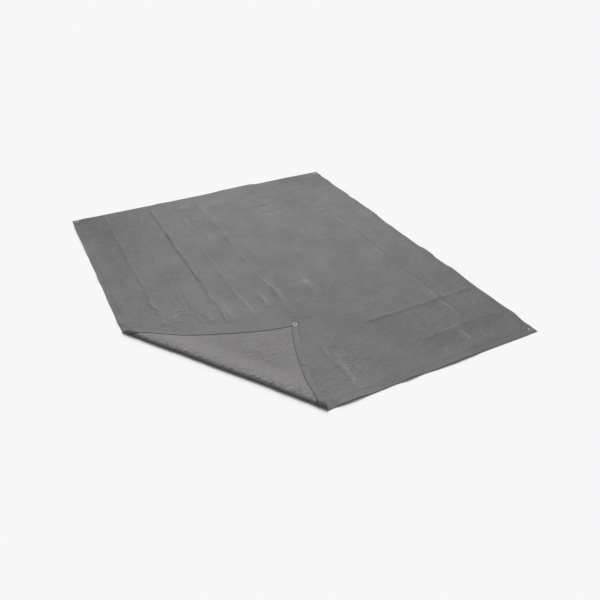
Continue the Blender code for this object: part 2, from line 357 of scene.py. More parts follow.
def shell(points, triangles, thickness):
    """A closed shell about a surface: a copy half the thickness out along the normals, one in, and a rim.

    Returns the points, the triangles and each triangle's side: 0 outer, 1 inner, 2 rim.
    """
    corner = [points[triangles[:, i]] for i in range(3)]
    facing = np.cross(corner[1] - corner[0], corner[2] - corner[0])
    normals = np.zeros_like(points)
    for i in range(3):
        np.add.at(normals, triangles[:, i], facing)
    normals /= np.maximum(np.linalg.norm(normals, axis=1), 1e-12)[:, None]
    count = len(points)
    edges = np.concatenate([triangles[:, [0, 1]], triangles[:, [1, 2]], triangles[:, [2, 0]]])
    keys = edges.min(axis=1) * count + edges.max(axis=1)
    _, first, uses = np.unique(keys, return_index=True, return_counts=True)
    a, b = edges[first[uses == 1]].T
    rim = np.concatenate([np.stack([b, a, a + count], axis=1), np.stack([b, a + count, b + count], axis=1)])
    faces = np.concatenate([triangles, triangles[:, ::-1] + count, rim])
    side = np.repeat([0, 1, 2], [len(triangles), len(triangles), len(rim)])
    return np.concatenate([points + normals * thickness / 2, points - normals * thickness / 2]), faces, side


def outwards(points, triangles):
    """A closed mesh's triangles, turned round if it is inside out, which its signed volume tells."""
    a, b, c = (points[triangles[:, i]] for i in range(3))
    return triangles[:, ::-1] if (a * np.cross(b, c)).sum() < 0 else triangles


def add_object(name, data):
    """Puts data into a new object in the scene."""
    obj = bpy.data.objects.new(name, data)
    bpy.context.scene.collection.objects.link(obj)
    return obj


def new_piece(name, points, triangles, materials, flat=None, marks=None, sides=None):
    """Puts arrays into a mesh object: the flat coordinates as a UV map, the marks as point attributes."""
    mesh = bpy.data.meshes.new(name)
    mesh.vertices.add(len(points))
    mesh.vertices.foreach_set("co", points.astype(np.float32).ravel())
    mesh.loops.add(triangles.size)
    mesh.loops.foreach_set("vertex_index", triangles.astype(np.int32).ravel())
    mesh.polygons.add(len(triangles))
    mesh.polygons.foreach_set("loop_start", np.arange(0, triangles.size, 3, dtype=np.int32))
    mesh.update(calc_edges=True)
    if flat is not None:
        layer = mesh.uv_layers.new(name="flat")
        layer.uv.foreach_set("vector", flat[triangles.ravel()].astype(np.float32).ravel())
    for mark, values in (marks or {}).items():
        mesh.attributes.new(mark, "FLOAT", "POINT").data.foreach_set("value", values.astype(np.float32))
    for material in materials:
        mesh.materials.append(finish(material))
    if sides is not None:
        mesh.polygons.foreach_set("material_index", sides.astype(np.int32))
    mesh.shade_smooth()
    mesh.set_sharp_from_angle(angle=SHARP_ANGLE)
    mesh.validate()
    return add_object(name, mesh)


def thin_piece(name, points, triangles, flat, marks, materials, slot, *nodes):
    """A closed piece as thick as the cloth, from its middle surface, in place of nodes of the frame.

    It has a material for all of it, or one for its outer side and one for its inner side. A mark is
    an array for both sides, or a pair with one for each.
    """
    made, faces, side = shell(points, triangles, bpy.context.scene.tarp_cloth.thickness)
    both = {mark: np.concatenate(v) if isinstance(v, tuple) else np.tile(v, 2) for mark, v in marks.items()}
    sides = (side == 1) * (len(materials) - 1)
    obj = new_piece(name, made, outwards(made, faces), materials, np.tile(flat, (2, 1)), both, sides)
    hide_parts(*nodes)
    return obj


# ---------------------------------------------------------------- creases and the cloth's height

# Storage creases that run the long way: share of the width from the left, start and end as shares of
# the length from the back, height as a share of the crease height (negative is a valley), width of
# the left and the right slope in metres
LONG_CREASES = (
    (0.110, 0.00, 1.00, 0.45, 0.008, 0.014),
    (0.195, 0.36, 0.80, -0.45, 0.005, 0.008),
    (0.272, 0.00, 1.00, 1.00, 0.006, 0.016),
    (0.348, 0.34, 0.70, 0.75, 0.024, 0.008),
    (0.372, 0.40, 0.66, -0.45, 0.006, 0.010),
    (0.448, 0.00, 1.00, 0.90, 0.030, 0.010),
    (0.491, 0.34, 1.00, -0.55, 0.005, 0.007),
    (0.560, 0.55, 1.00, 0.35, 0.010, 0.012),
    (0.660, 0.00, 0.60, 0.40, 0.014, 0.014),
    (0.735, 0.10, 1.00, 0.35, 0.010, 0.014),
    (0.862, 0.08, 1.00, 0.75, 0.022, 0.008),
    (0.880, 0.20, 0.62, -0.50, 0.006, 0.007),
    (0.905, 0.68, 0.93, -0.60, 0.008, 0.010),
)
# Storage creases that run the short way: share of the length from the back, start and end as shares of
# the width from the left, height, width of the back and the front slope
CROSS_CREASES = (
    (0.107, 0.58, 0.85, 0.45, 0.020, 0.008),
    (0.158, 0.62, 0.72, -0.70, 0.010, 0.012),
    (0.208, 0.62, 0.74, -0.80, 0.010, 0.014),
    (0.300, 0.05, 0.40, 0.25, 0.012, 0.014),
    (0.440, 0.55, 0.95, -0.30, 0.010, 0.014),
    (0.600, 0.00, 0.55, 0.25, 0.014, 0.014),
    (0.800, 0.00, 0.36, 0.80, 0.009, 0.009),
    (0.800, 0.60, 1.00, 0.85, 0.034, 0.013),
    (0.906, 0.70, 0.98, 0.55, 0.030, 0.018),
)
CREASE_FADE = 0.05
CREASE_WANDER = 0.0035
# A crease this high or deep, as a share, gets close grid lines
FINE_CREASE = 0.4
# Single wrinkles: flat x and y of the middle, direction in degrees from +X, half length, half width,
# height as a share of the pucker height
WRINKLES = (
    (-0.067, -0.210, 89, 0.100, 0.012, 3.0),
    (-0.151, -0.250, 92, 0.080, 0.011, 2.8),
    (-0.232, -0.260, 88, 0.070, 0.009, 2.2),
    (-0.335, -0.240, 93, 0.070, 0.012, 2.0),
    (-0.422, -0.244, 80, 0.070, 0.013, 2.3),
    (-0.490, -0.222, 92, 0.080, 0.010, -2.2),
    (-0.560, -0.170, 70, 0.060, 0.012, 1.8),
    (-0.625, -0.060, 105, 0.070, 0.012, 1.6),
    (-0.600, 0.035, 12, 0.050, 0.014, 1.8),
    (-0.690, -0.020, 80, 0.070, 0.012, -1.7),
    (0.084, -0.200, 70, 0.040, 0.024, 3.4),
    (0.120, -0.260, 95, 0.050, 0.012, 1.8),
    (-0.067, -0.840, 88, 0.140, 0.012, 2.6),
    (0.507, -0.890, 86, 0.070, 0.011, 2.8),
    (0.575, -0.620, 88, 0.200, 0.014, 1.7),
    (0.644, -0.480, 90, 0.080, 0.012, -2.4),
    (0.300, 0.678, 2, 0.060, 0.013, -2.6),
    (0.267, 0.584, 3, 0.070, 0.015, -2.9),
    (0.250, 0.330, 2, 0.045, 0.012, -1.8),
    (0.250, 0.235, 178, 0.045, 0.012, -1.6),
    (0.544, 0.470, 5, 0.040, 0.014, 2.0),
    (-0.225, 0.680, 84, 0.065, 0.013, 2.1),
    (-0.200, 0.880, 25, 0.045, 0.014, 2.2),
    (-0.170, 0.460, 75, 0.055, 0.014, 2.2),
    (-0.660, 0.620, 30, 0.040, 0.013, 2.0),
    (-0.620, 0.830, 15, 0.055, 0.014, -1.8),
    (0.070, 0.860, 40, 0.055, 0.013, 2.2),
    (0.400, 0.920, 60, 0.050, 0.013, -2.2),
    (0.480, 0.860, 100, 0.050, 0.013, 1.8),
    (0.640, 0.760, 92, 0.070, 0.016, -2.0),
)
SCATTERED = 200
# Places where the coating is rubbed pale: flat x and y, reach in x and in y, strength
RUBBED = (
    (0.084, -0.200, 0.030, 0.040, 0.75),
    (0.115, -0.250, 0.012, 0.050, 0.50),
    (-0.064, -0.215, 0.014, 0.100, 0.65),
    (-0.151, -0.250, 0.012, 0.080, 0.60),
    (-0.244, -0.060, 0.009, 0.220, 0.40),
    (-0.238, -0.260, 0.011, 0.060, 0.50),
    (-0.335, -0.250, 0.013, 0.070, 0.45),
    (-0.425, -0.240, 0.014, 0.070, 0.45),
    (-0.560, -0.160, 0.016, 0.060, 0.30),
    (-0.064, -0.840, 0.014, 0.130, 0.65),
    (0.507, -0.890, 0.010, 0.070, 0.65),
    (0.578, -0.620, 0.008, 0.200, 0.35),
    (0.544, 0.470, 0.032, 0.012, 0.45),
    (-0.230, 0.680, 0.013, 0.065, 0.50),
    (-0.170, 0.460, 0.045, 0.055, 0.40),
    (-0.190, 0.880, 0.050, 0.020, 0.45),
    (-0.067, 0.560, 0.018, 0.220, 0.35),
    (0.075, 0.870, 0.035, 0.020, 0.45),
    (-0.670, 0.640, 0.025, 0.030, 0.35),
    (0.010, 0.310, 0.030, 0.050, 0.35),
)
# Wide places of painted light (above 0) and painted shade (below 0), given in the same way
PAINTED_LIGHT_AND_SHADE = (
    (-0.80, 0.95, 0.32, 0.46, -0.62),
    (0.70, 0.92, 0.34, 0.20, -0.50),
    (-0.45, -0.22, 0.30, 0.20, 0.36),
    (-0.20, -0.55, 0.16, 0.22, 0.22),
    (-0.10, -0.92, 0.26, 0.16, 0.34),
)
# Places that have been handled most, given in the same way
HANDLED = (
    (-0.45, -0.15, 0.40, 0.22, 0.9),
    (0.05, -0.20, 0.20, 0.16, 0.8),
    (-0.05, -0.85, 0.25, 0.20, 0.8),
    (-0.15, 0.62, 0.22, 0.28, 0.5),
    (0.30, 0.72, 0.30, 0.22, 0.6),
    (0.62, 0.85, 0.22, 0.16, 0.7),
    (0.55, -0.75, 0.30, 0.25, 0.5),
    (-0.60, 0.75, 0.20, 0.22, 0.5),
)


def crease_height(along, across, place, start, end, size, low_slope, high_slope, seed):
    """A crease's height and how pale its crest is, from wear and painted sheen: two slopes that fall away
    from a line by powers of e.

    The crease runs along the first of the two distances, at a place on the second. A valley is the same
    shape upside down between two low shoulders. It fades at its ends and wanders a little.
    """
    off = across - (place + CREASE_WANDER * drift(along, 0.11, seed))
    slope = np.where(off < 0, low_slope, high_slope)
    fade = smooth(start - CREASE_FADE / 2, start + CREASE_FADE, along)
    fade = fade * (1 - smooth(end - CREASE_FADE, end + CREASE_FADE / 2, along))
    strength = abs(size) * fade * (0.72 + 0.38 * drift(along, 0.07, seed + 1))
    peak = np.exp(-np.abs(off) / slope)
    if size < 0:
        return strength * (0.75 * bell(off / (3.2 * slope)) - peak), strength * 0.4 * bell(off / 0.004)
    patchy = np.clip(0.45 + 0.9 * drift(along, 0.085, seed + 2), 0, 1)
    return strength * peak, strength * patchy * 0.8 * bell(off / 0.0065)


def creases(x, y):
    """The height of all storage creases at flat coordinates, as a share, and how pale their crests are,
    from wear and painted sheen.
    """
    height, crest = np.zeros_like(x), np.zeros_like(x)
    from_left, from_back = x - LEFT, BACK - y
    long_way = (LONG_CREASES, from_back, LENGTH, from_left, WIDTH, 100)
    short_way = (CROSS_CREASES, from_left, WIDTH, from_back, LENGTH, 200)
    for table, along, run, across, span, seed in (long_way, short_way):
        for i, (place, start, end, *shape) in enumerate(table):
            at = (place * span, start * run, end * run)
            rise, worn_and_lit = crease_height(along, across, *at, *shape, seed + 3 * i)
            height, crest = height + rise, crest + worn_and_lit
    return height, crest


def wrinkles(x, y):
    """The height of the single wrinkles and the scattered ones, as a share of the pucker height.

    Each is a ridge that falls off by powers of e to its sides and like a bell along its length. The
    second result is how pale their tops are, from wear and painted sheen.
    """
    random = np.random.default_rng(41)
    drawn = [
        (
            random.uniform(LEFT, RIGHT),
            random.uniform(FRONT, BACK),
            random.choice([0, 90]) + random.normal(0, 14),
            random.uniform(0.012, 0.034),
            random.uniform(0.006, 0.010),
            random.choice([-1, 1]) * random.uniform(0.25, 0.9),
        )
        for _ in range(SCATTERED)
    ]
    height, crest = np.zeros_like(x), np.zeros_like(x)
    for place_x, place_y, direction, half_length, half_width, size in (*WRINKLES, *drawn):
        turn = math.radians(direction)
        along = (x - place_x) * math.cos(turn) + (y - place_y) * math.sin(turn)
        across = (y - place_y) * math.cos(turn) - (x - place_x) * math.sin(turn)
        across = across + 0.006 * drift(along, 0.04, int(abs(place_x) * 1000))
        shape = np.exp(-((along / half_length) ** 2) - (np.abs(across) / half_width) ** 1.4)
        height += size * shape
        crest += 0.16 * max(size - 0.5, 0) * smooth(0.35, 1.0, shape)
    return height, crest


def rubbing(x, y):
    """How rubbed the coating is: flecks of random noise that thicken towards the middle of each place."""
    flecks = 0.6 + 0.5 * noise(x, y, 0.013, 0.022, 51) + 0.4 * noise(x, y, 0.03, 0.05, 52)
    rubbed = np.zeros_like(x)
    for place_x, place_y, reach_x, reach_y, strength in RUBBED:
        bent = x - place_x - 0.008 * noise(x, y, 0.05, 0.06, int(abs(place_y) * 1000))
        rubbed += strength * np.exp(-np.abs(bent / reach_x) ** 1.6 - np.abs((y - place_y) / reach_y) ** 2.4)
    return rubbed * np.clip(flecks, 0, 1.3)


def soft_places(table, x, y):
    """The sum of a table's places, each a bell in both directions."""
    level = np.zeros_like(x)
    for place_x, place_y, reach_x, reach_y, strength in table:
        level += strength * bell((x - place_x) / reach_x, (y - place_y) / reach_y)
    return level


def handling(x, y):
    """How crumpled the coating is: soft random patches, the handled places, and the fold itself."""
    level = 0.22 + 0.22 * noise(x, y, 0.16, 0.19, 31) + 0.12 * noise(x, y, 0.06, 0.07, 32)
    level = level + 0.5 * soft_places(HANDLED, x, y) * (0.6 + 0.6 * noise(x, y, 0.08, 0.09, 33))
    _, out = fold_place(x, y)
    level = level + 1.1 * bell((out - 0.040) / 0.040) * smooth(0.0, 0.01, out)
    level = level + 0.30 * smooth(0.04, 0.10, out)
    return np.clip(level, 0, 1.5)


def roll_light_and_shade(out):
    """How much painted light and painted shade the corner's underside gets, out from the fold line.

    Painted shade lies low on the roll, where it meets the ground, and painted light from the roll's top
    onwards.
    """
    painted_light = 2.6 * bell((out - 0.028) / 0.010) + 0.8 * bell((out - 0.065) / 0.040)
    return painted_light + 0.7 * smooth(0.02, 0.05, out), 0.75 * bell((out - 0.010) / 0.007)


def edge_distance(x, y):
    """How far inside the outline a flat place lies, and how far inside the hems' inner edges."""
    side = np.minimum(x - LEFT, RIGHT - x)
    end = np.minimum(y - FRONT, BACK - y)
    return np.minimum(side, end), np.minimum(side - SIDE_HEM, end - END_HEM)


def corner_stiffness(x, y):
    """1 round each eyelet, less along its strip, where the cloth is held flat, and 0 away from them."""
    stiff = np.zeros_like(x)
    for place in CORNERS.values():
        beyond_x = np.maximum(np.abs(x - place[0]) - STRIP_REACH, 0)
        beyond_y = np.maximum(np.abs(y - place[1]) - END_HEM, 0)
        near = np.hypot(x - place[0], y - place[1])
        stiff = np.maximum(stiff, 0.75 * (1 - smooth(0, 0.03, np.hypot(beyond_x, beyond_y))))
        stiff = np.maximum(stiff, 1 - smooth(0.045, 0.075, near))
    return stiff


def covered(x, y):
    """1 where the folded corner lies on the flat sheet, down to 0 a little way outside it."""
    along, out = fold_place(x, y)
    over_left = along + out * TIP_ALONG / TIP_OUT
    over_front = FOLD_LENGTH + out * (FOLD_LENGTH - TIP_ALONG) / TIP_OUT - along
    return smooth(-0.02, 0.01, np.minimum(over_left * 0.57, over_front * 0.82))


def edge_waves(x, y):
    """Low lumps along the edges, where the hem has shrunk and the cloth stands up off the ground."""
    distance = edge_distance(x, y)[0]
    lumps = smooth(0.30, 1.0, 0.5 + 0.5 * noise(x + 3.1, y + 1.7, 0.085, 0.105, 7))
    return bpy.context.scene.tarp_cloth.edge_height * lumps * np.exp(-np.maximum(distance, 0) / 0.045)


def edge_wander(x, y):
    """A small sideways shift of the cloth near its edges, so that they aren't ruler straight."""
    near = np.exp(-np.maximum(edge_distance(x, y)[0], 0) / 0.05) * (1 - corner_stiffness(x, y))
    near = near * smooth(0.0, 0.06, -fold_place(x, y)[1])
    right = smooth(-0.1, 0.1, x)
    side = (0.0022 + 0.0028 * right) * noise(x, y, 0.5, 0.12, 21)
    side = side + 0.0024 * right * noise(x, y, 0.5, 0.05, 22)
    side = side - 0.0085 * right * bell((y - 0.80) / 0.10) - 0.0010 * right
    end = 0.0026 * noise(x, y, 0.13, 0.5, 23) + 0.0014 * noise(x, y, 0.05, 0.5, 24)
    return near * side, near * end


def sheet_height(x, y):
    """Height of the middle of the flat cloth, and how pale it is, from wear and painted sheen.

    The hems hold the edges at the sheet's level in the frame. Inwards of them it settles to its
    resting height, with storage creases, wrinkles, long swells and a fine crinkle on top.
    """
    cloth = bpy.context.scene.tarp_cloth
    inside = edge_distance(x, y)[1]
    inwards = -fold_place(x, y)[1]
    held = np.maximum(1 - smooth(0.0, 0.055, inside), 1 - smooth(0.0, 0.05, inwards))
    level = cloth.resting_height + (SHEET_LEVEL - cloth.resting_height) * held
    share, crest = creases(x, y)
    ridges, worn_and_lit = wrinkles(x, y)
    swell = 0.6 * noise(x, y, 0.31, 0.42, 3) + 0.4 * noise(x, y, 0.13, 0.19, 4)
    crinkle = 1 - np.abs(noise(x, y, 0.034, 0.041, 5)) - np.abs(noise(x, y, 0.047, 0.026, 6))
    relief = cloth.crease_height * share + cloth.pucker_height * (ridges + 0.45 * crinkle)
    relief = relief + cloth.swell_height * np.maximum(swell, -0.2)
    near_hem = 0.25 + 0.75 * smooth(-0.004, 0.05, inside)
    near_fold = smooth(0.004, 0.045, inwards) * (1 - 0.85 * covered(x, y))
    free = near_fold * (1 - corner_stiffness(x, y))
    height = level + relief * near_hem * free + edge_waves(x, y) * free
    ground = cloth.thickness / 2 + 0.0001
    lowest = ground + (SHEET_LEVEL - ground) * (inside < 0)
    return lowest + softened(height - lowest, 0.0003), (crest + worn_and_lit) * near_hem * free + rubbing(x, y)


# ---------------------------------------------------------------- the folded corner

PROFILE_SAMPLES = 4001
# How far out the folded corner's own relief starts: nearer the fold it would grow when the fold opens
RELIEF_START = 0.13
RELIEF_FULL = 0.19


def fold_profile():
    """The fold's section: cloth length, distance inwards, height and slope of its middle, as arrays.

    The slope makes a half turn round the roll, quick on the outer side and slow on top. It then dips
    by half a sine wave, and the dip's depth is the one that lands the cloth at the flap's level.
    """
    touchdown = bpy.context.scene.tarp_fold.touchdown
    cloth = np.linspace(0, TIP_OUT + 0.02, PROFILE_SAMPLES)
    dip = (SHEET_LEVEL + ROLL_HEIGHT - FLAP_LEVEL) / (touchdown * 2 / math.pi)
    tight = math.pi - np.maximum(cloth - ROLL_LEAD, 0) / TIGHT_RADIUS
    wide = TURN_SHARED - (cloth - TIGHT_END) / WIDE_RADIUS
    turning = np.where(cloth < TIGHT_END, tight, wide)
    down = -dip * np.sin(math.pi * np.clip((cloth - ROLL_LENGTH) / touchdown, 0, 1))
    slope = np.where(cloth < ROLL_LENGTH, turning, down)
    middle = (slope[1:] + slope[:-1]) / 2
    inwards = np.concatenate([[0], np.cumsum(np.cos(middle)) * cloth[1]])
    height = SHEET_LEVEL + np.concatenate([[0], np.cumsum(np.sin(middle)) * cloth[1]])
    return cloth, inwards, height, slope


def tip_slip():
    """How far the folded tip lies short of a mirror image: along the fold, and across it."""
    along, out = fold_place(*box_middle("eyelet_" + FOLDED)[:2])
    flat_along, flat_out = fold_place(*eyelet_place(FOLDED))
    share = (flat_out - ROLL_LENGTH) / (TIP_OUT - ROLL_LENGTH)
    cloth, inwards, _, _ = fold_profile()
    return (flat_along - along) / share, (np.interp(flat_out, cloth, inwards) + out) / share


def flap_relief(x, y, out):
    """Height of the folded cloth's own relief over its level, and how pale its crests are, from wear and
    painted sheen.
    """
    cloth = bpy.context.scene.tarp_cloth
    share, crest = creases(x, y)
    free = smooth(RELIEF_START, RELIEF_FULL, out) * (1 - 0.9 * corner_stiffness(x, y))
    near_edge = 0.3 + 0.7 * smooth(0.0, 0.05, edge_distance(x, y)[1])
    crinkle = 1 - np.abs(noise(x, y, 0.030, 0.036, 15)) - np.abs(noise(x, y, 0.041, 0.024, 16))
    puckers = 0.7 * wrinkles(x, y)[0] + 0.5 * crinkle
    relief = cloth.crease_height * share * 0.55 + cloth.pucker_height * puckers
    relief = np.clip(relief + 0.0008 * noise(x, y, 0.11, 0.13, 17), -0.0007, 0.0022)
    return relief * free * near_edge, crest * smooth(0.02, 0.05, out)


def folded(x, y, lift):
    """Where a flat place of the folded corner lies at rest, lifted off the cloth's middle.

    The lift is along the normal, towards the underside. The section gives the distance inwards and
    the height. The slip grows evenly from the roll to the tip, and both edges bow inwards by a power
    of half a sine wave, whose effect fades smoothly across the width.
    """
    fold = bpy.context.scene.tarp_fold
    along, out = fold_place(x, y)
    cloth, *rows = fold_profile()
    v, z, turn = (np.interp(out, cloth, row) for row in rows)
    share = np.clip((out - ROLL_LENGTH) / (TIP_OUT - ROLL_LENGTH), 0, 1)
    slip_along, slip_across = tip_slip()
    left = out * TIP_ALONG / TIP_OUT
    right = FOLD_LENGTH - out * (FOLD_LENGTH - TIP_ALONG) / TIP_OUT
    across = smooth(0, 1, (along - left) / np.maximum(right - left, SAME_PLACE))
    wave = np.sin(math.pi * share)
    bow = fold.left_bow * wave**0.75 * (1 - across) - fold.front_bow * wave**0.6 * across
    u = along - slip_along * share + bow
    wobble = 0.0024 * drift(along, 0.12, 61) + 0.0009 * drift(along, 0.04, 62)
    v = v - slip_across * share + wobble * smooth(0.0, 0.008, out) * (1 - smooth(0.02, 0.05, out))
    relief, crest = flap_relief(x, y, out)
    v = v - np.sin(turn) * (lift + relief)
    z = z + np.cos(turn) * (lift + relief)
    plan = FOLD_START + u[..., None] * ALONG + v[..., None] * INWARD
    return np.concatenate([plan, z[..., None]], axis=-1), crest


# ---------------------------------------------------------------- shader maths

CLOTH_MARKS = ("crest", "seam", "handled")


class Wire:
    """An output socket in a material's node tree, on which arithmetic adds Math nodes.

    A wire without a socket is only a place to add nodes from.
    """

    def __init__(self, tree, socket=None):
        self.tree = tree
        self.socket = socket

    def node(self, kind, settings=None, output=0, **inputs):
        """Adds a node of any kind: its settings are set first, then its inputs get values or links.

        An input is named as its socket, with _ for a space, or by its number, as s0.
        """
        node = self.tree.nodes.new("ShaderNode" + kind)
        for setting, value in (settings or {}).items():
            setattr(node, setting, value)
        for name, value in inputs.items():
            numbered = name[0] == "s" and name[1:].isdigit()
            feed(node.inputs[int(name[1:]) if numbered else name.replace("_", " ")], value)
        return Wire(self.tree, node.outputs[output])

    def math(self, operation, *values):
        """A Math node on numbers and wires."""
        inputs = {f"s{i}": value for i, value in enumerate(values)}
        return self.node("Math", {"operation": operation}, **inputs)

    def mix(self, a, b):
        """From colour a to colour b, by this share."""
        return self.node("Mix", {"data_type": "RGBA"}, 2, s0=self, s6=a, s7=b)

    def noise(self, scale, detail, roughness=0.5, distortion=0.0):
        """A noise texture at this place, a vector."""
        shape = {"Scale": scale, "Detail": detail, "Roughness": roughness, "Distortion": distortion}
        return self.node("TexNoise", Vector=self, **shape)

    def noise_along(self, scale, detail):
        """A noise texture along this value."""
        return self.node("TexNoise", {"noise_dimensions": "1D"}, W=self, Scale=scale, Detail=detail)

    def sine(self):
        return self.math("SINE", self)

    def __add__(self, other):
        return self.math("ADD", self, other)

    def __radd__(self, other):
        return self.math("ADD", other, self)

    def __sub__(self, other):
        return self.math("SUBTRACT", self, other)

    def __rsub__(self, other):
        return self.math("SUBTRACT", other, self)

    def __mul__(self, other):
        return self.math("MULTIPLY", self, other)

    def __rmul__(self, other):
        return self.math("MULTIPLY", other, self)

    def __pow__(self, other):
        return self.math("POWER", self, other)

    def __gt__(self, other):
        return self.math("GREATER_THAN", self, other)

    def __abs__(self):
        return self.math("ABSOLUTE", self)


def feed(socket, value):
    """Gives an input socket a link from a wire, or a value."""
    if isinstance(value, Wire):
        value.tree.links.new(value.socket, socket)
    else:
        socket.default_value = value


def new_material(name):
    """An empty material: the material, a wire to add nodes from, and the shader's inputs."""
    material = bpy.data.materials.new(name)
    material.use_nodes = True
    tree = material.node_tree
    return material, Wire(tree), tree.nodes["Principled BSDF"].inputs


def rgba(tint, factor=1.0):
    return (*(c * factor for c in tint), 1.0)


def cloth_material(name, tint, wear_and_sheen):
    """Coated cloth woven from flat tapes.

    Each crossing of two tapes is a small pillow, the product of two sine waves. Tapes differ a little
    in shade. Larger, soft patches, crests pale from wear and painted sheen, painted light, and the dark
    welded line with painted shade change the colour. The crumple of the coating is the distance of two
    noises from their middle, and streaks both ways.
    """
    material, start, shader = new_material(name)
    width = bpy.context.scene.tarp_cloth.tape_width
    flat = start.node("UVMap", {"uv_map": "flat"})
    x, y = (start.node("SeparateXYZ", None, i, Vector=flat) for i in range(2))
    crest, seam, handled = (start.node("Attribute", {"attribute_name": mark}, 2) for mark in CLOTH_MARKS)
    crossing = (x * (math.pi / width)).sine() * (y * (math.pi / width)).sine()
    over = crossing > 0.0
    patches = flat.noise(5.5, 4.0, 0.55)
    specks = flat.noise(70.0, 3.0, 0.6)
    strands = start.node("CombineXYZ", X=x * 120.0, Y=y * 11.0).noise(1.0, 3.0, 0.6)
    bars = start.node("CombineXYZ", X=x * 13.0, Y=y * 105.0).noise(1.0, 3.0, 0.6)
    cockle = abs(flat.noise(42.0, 4.0, 0.55, 0.6) - 0.5)
    folds = abs(flat.noise(17.0, 2.0, 0.5, 0.9) - 0.5)
    crumple = strands * 0.13 + bars * 0.13 + (cockle * 0.7 + folds * 1.5) * handled
    tone = (x.noise_along(210.0, 1.0) + y.noise_along(190.0, 1.0) - 1.0) * 0.16
    tone = tone + (patches - 0.5) * 0.36 + (specks - 0.5) * 0.34
    tone = tone + (strands + bars - 1.0) * 0.20 + over * 0.03 + 0.485
    base = tone.mix(rgba(tint, 0.80), rgba(tint, 1.22))
    # Crests pale from wear and painted sheen; the painted light of the roll and of wide places pales the
    # colour here too
    worn_and_lit = (crest * wear_and_sheen).mix(base, rgba(tint, 1.75))
    # The darkening mark holds the welded line and painted shade: shadow beside the hems' inner edges, low
    # on the roll and at the back corners
    feed(shader["Base Color"], seam.mix(worn_and_lit, rgba(tint, 0.33)))
    feed(shader["Roughness"], 0.56 - (patches - 0.5) * 0.20 + over * 0.04 + crest * 0.04)
    feed(shader["IOR"], 1.23)
    weave = start.node("Bump", Strength=0.35, Distance=0.00022, Height=abs(crossing) ** 0.5)
    feed(shader["Normal"], start.node("Bump", Strength=1.0, Distance=0.0075, Height=crumple, Normal=weave))
    return material


def strip_material():
    """Smooth extruded plastic, finely lined along its length, with edges paler towards its rounded end."""
    material, start, shader = new_material("plastic")
    tint = bpy.context.scene.tarp_strip.colour
    flat = start.node("UVMap", {"uv_map": "flat"})
    draw = start.node("SeparateXYZ", None, 1, Vector=flat).noise_along(900.0, 2.0)
    crest = start.node("Attribute", {"attribute_name": "crest"}, 2)
    specks = flat.noise(60.0, 3.0)
    tone = (draw - 0.5) * 0.25 + (specks - 0.5) * 0.4 + 0.5
    base = tone.mix(rgba(tint, 0.82), rgba(tint, 1.20))
    feed(shader["Base Color"], crest.mix(base, rgba(tint, 2.2)))
    feed(shader["Roughness"], 0.50 + (specks - 0.5) * 0.2)
    feed(shader["IOR"], 1.25)
    feed(shader["Normal"], start.node("Bump", Strength=0.3, Distance=0.0001, Height=draw))
    return material


def metal_material():
    """Dull grey metal with a light mottle in its colour and gloss, and small dents."""
    material, start, shader = new_material("metal")
    tint = bpy.context.scene.tarp_eyelet.colour
    place = start.node("TexCoord", None, 3)
    mottle = place.noise(260.0, 4.0, 0.6)
    feed(shader["Base Color"], mottle.mix(rgba(tint, 0.72), rgba(tint, 1.05)))
    feed(shader["Roughness"], 0.55 + (mottle - 0.4) * 0.25)
    feed(shader["Metallic"], 1.0)
    dents = place.noise(900.0, 2.0)
    feed(shader["Normal"], start.node("Bump", Strength=0.25, Distance=0.00008, Height=dents))
    return material


def finish(name):
    """The material of that name, made on first use."""
    if name in bpy.data.materials:
        return bpy.data.materials[name]
    cloth = bpy.context.scene.tarp_cloth
    cloths = {
        "cloth_top": (cloth.top_colour, cloth.top_wear),
        "cloth_under": (cloth.under_colour, cloth.under_wear),
        "cloth_hem": (bpy.context.scene.tarp_hem.colour, cloth.under_wear),
    }
    if name in cloths:
        return cloth_material(name, *cloths[name])
    return {"plastic": strip_material, "metal": metal_material}[name]()


# ---------------------------------------------------------------- the pieces

# Spacings of grid lines, coarse and fine, and how far the fine ones reach from a crease or an edge
SHEET_COLUMNS = (0.0098, 0.0042)
SHEET_ROWS = (0.0112, 0.0048)
CORNER_COLUMNS = (0.0064, 0.0052)
CORNER_ROWS = (0.0062, 0.0036)
STRIP_ROWS = (0.0060, 0.0016)
FINE_REACH = 0.016
ROLL_ROWS = 27
# A grid line nearer than this to a limit is left out
TRIM = 0.001
# A hem's section: places of its dark line, the welded line with painted shadow of the free edge, in seam
# widths from the free edge, how dark each is, where the level stretch starts, and steps along that stretch
# and round the wrap
SEAM_STEPS = (0, 1 / 3, 1, 1.6)
SEAM_AND_SHADOW_DARK = (0.75, 1.0, 0.35, 0.0)
LEVEL_START = 2.4
HEM_STEPS = 8
WRAP_STEPS = 9
WRAP_PLAY = 0.0005
HEM_HANDLED = 0.3
STRIP_CORE = 0.0080
STRIP_WINDOW = 0.0112
STRIP_CELLS = 14
STRIP_EDGES = (0, 0.0012, 0.003)
ROUND_STEPS = 72
WASHER_PLAY = 0.0003


def wrap_radius():
    return bpy.context.scene.tarp_hem.drop / 2


def cloth_inset():
    """How far inside the outline the flat cloth ends, where the hem's wrap takes over."""
    return bpy.context.scene.tarp_cloth.thickness / 2 + wrap_radius() + WRAP_PLAY


def eyelet_place(corner):
    return CORNERS[corner] - np.sign(CORNERS[corner]) * EYELET_INSET


def body_of(corner):
    return "corner" if corner == FOLDED else "sheet"


def open_eyelet_hole(points, triangles, centre):
    """The cloth with the hole that an eyelet's barrel goes through."""
    hole = bpy.context.scene.tarp_eyelet.hole
    return open_hole(points, triangles, centre, EYELET_CORE, EYELET_WINDOW, hole)


def fold_x(y):
    """The x of the fold line at each y."""
    return FOLD_START[0] + (y - FOLD_START[1]) * ALONG[0] / ALONG[1]


def fold_y(x):
    """The y of the fold line at each x."""
    return FOLD_START[1] + (x - FOLD_START[0]) * ALONG[1] / ALONG[0]


